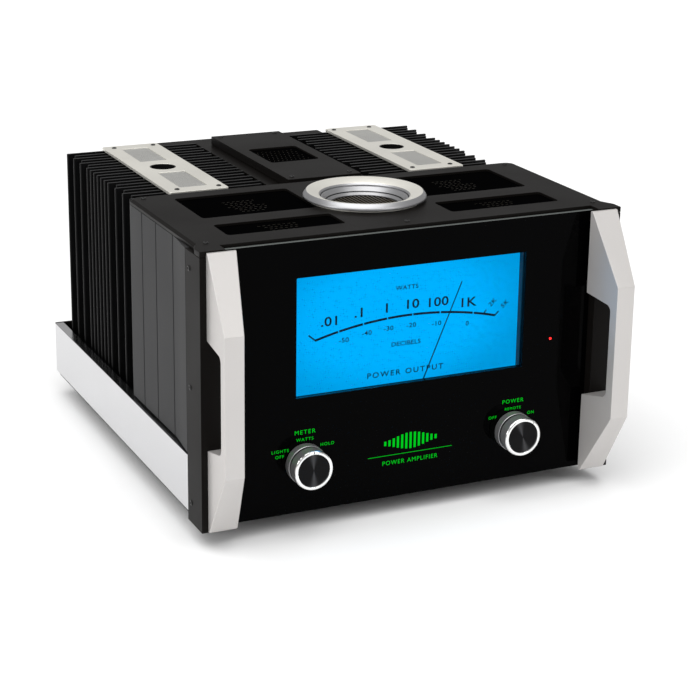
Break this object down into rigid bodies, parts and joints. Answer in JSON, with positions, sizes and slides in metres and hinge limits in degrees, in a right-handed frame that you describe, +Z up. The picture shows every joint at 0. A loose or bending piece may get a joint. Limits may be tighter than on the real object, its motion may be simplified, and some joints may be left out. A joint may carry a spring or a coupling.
{
  "type": "power amplifier",
  "caption": "Mono power amplifier with a large backlit output meter, two front knobs, angled front handles, finned heat sinks and a ringed vent on top.",
  "frame": {"origin": "on the floor, in the middle of the overall width and depth", "axes": "+Z up, +X to the right seen from the front, the front panel faces -Y"},
  "size_m": [0.4444, 0.57, 0.302],
  "materials": {
    "satin_aluminium": "fine bead-blasted, clear anodised",
    "polished_steel": "polished stainless steel",
    "black_paint": "satin warm black",
    "black_anodised": "black anodised extrusion",
    "black_glass": "polished, black screen print on the back",
    "blue_dial": "backlit translucent scale",
    "black_plastic": "moulded, satin",
    "rubber": "matt",
    "circuit_board": "solder resist over glass epoxy",
    "copper": "varnished copper winding",
    "gold_plate": "gold plated, polished",
    "capacitor_sleeve": "shrunk sleeve",
    "red_lens": "lit lens",
    "transistor_epoxy": "moulded epoxy"
  },
  "bodies": {
    "amplifier": {"base_chassis": "polished_steel", "bottom_plate": "black_paint", "centre_cover": "black_paint", "centre_deck": "black_paint", "control_board": "circuit_board", "cover_glass": "black_glass", "dial_plate": "blue_dial", "driver_board_left": "circuit_board", "driver_board_right": "circuit_board", "duct_cover_left": "satin_aluminium", "duct_cover_right": "satin_aluminium", "end_plate_left": "black_paint", "end_plate_right": "black_paint", "filter_capacitor_1": "capacitor_sleeve", "filter_capacitor_2": "capacitor_sleeve", "filter_capacitor_3": "capacitor_sleeve", "filter_capacitor_4": "capacitor_sleeve", "foot_front_left": "rubber", "foot_front_right": "rubber", "foot_rear_left": "rubber", "foot_rear_right": "rubber", "front_glass": "black_glass", "front_subpanel": "black_paint", "handle_left": "satin_aluminium", "handle_right": "satin_aluminium", "heatsink_inner_left": "black_anodised", "heatsink_inner_right": "black_anodised", "heatsink_outer_left": "black_anodised", "heatsink_outer_right": "black_anodised", "housing_rear_wall": "black_paint", "mains_inlet": "black_plastic", "meter_box": "black_plastic", "meter_movement": "black_plastic", "meter_switch": "black_plastic", "output_autoformer": "black_anodised", "output_transistors_left": "transistor_epoxy", "output_transistors_right": "transistor_epoxy", "power_supply_board": "circuit_board", "power_switch": "black_plastic", "power_transformer": "copper", "rca_socket": "gold_plate", "rear_panel": "black_paint", "ring_grille": "satin_aluminium", "side_panel_left": "black_paint", "side_panel_right": "black_paint", "status_led": "red_lens", "terminal_block": "black_plastic", "toggle_bushing": "polished_steel", "top_glass": "black_glass", "top_plate": "black_paint", "trim_ring": "satin_aluminium", "xlr_socket": "black_plastic"},
    "meter_needle": {"needle": "black_plastic"},
    "meter_knob": {"meter_knob": "satin_aluminium"},
    "power_knob": {"power_knob": "satin_aluminium"},
    "input_toggle": {"toggle_lever": "polished_steel"},
    "terminal_nut_1": {"terminal_nut_1": "gold_plate"},
    "terminal_nut_2": {"terminal_nut_2": "gold_plate"},
    "terminal_nut_3": {"terminal_nut_3": "gold_plate"},
    "terminal_nut_4": {"terminal_nut_4": "gold_plate"}
  },
  "joints": [
    {"name": "needle_swing", "type": "hinge", "parent": "amplifier", "child": "meter_needle", "pos_m": [0, -0.2238, 0.0947], "axis": [0, 1, 0], "range_deg": [-69, 23.8], "stiffness_Nm_per_rad": 0.004},
    {"name": "meter_knob_turn", "type": "hinge", "parent": "amplifier", "child": "meter_knob", "pos_m": [-0.1137, -0.2418, 0.0697], "axis": [0, 1, 0], "range_deg": [-45, 45]},
    {"name": "power_knob_turn", "type": "hinge", "parent": "amplifier", "child": "power_knob", "pos_m": [0.1137, -0.2418, 0.0697], "axis": [0, 1, 0], "range_deg": [-90, 0]},
    {"name": "input_toggle_tip", "type": "hinge", "parent": "amplifier", "child": "input_toggle", "pos_m": [0.034, 0.2403, 0.122], "axis": [1, 0, 0], "range_deg": [-22, 0]},
    {"name": "terminal_nut_1_turn", "type": "hinge", "parent": "amplifier", "child": "terminal_nut_1", "pos_m": [-0.066, 0.2623, 0.214], "axis": [0, 1, 0], "range_deg": [0, 1080]},
    {"name": "terminal_nut_2_turn", "type": "hinge", "parent": "amplifier", "child": "terminal_nut_2", "pos_m": [-0.022, 0.2623, 0.214], "axis": [0, 1, 0], "range_deg": [0, 1080]},
    {"name": "terminal_nut_3_turn", "type": "hinge", "parent": "amplifier", "child": "terminal_nut_3", "pos_m": [0.022, 0.2623, 0.214], "axis": [0, 1, 0], "range_deg": [0, 1080]},
    {"name": "terminal_nut_4_turn", "type": "hinge", "parent": "amplifier", "child": "terminal_nut_4", "pos_m": [0.066, 0.2623, 0.214], "axis": [0, 1, 0], "range_deg": [0, 1080]}
  ]
}
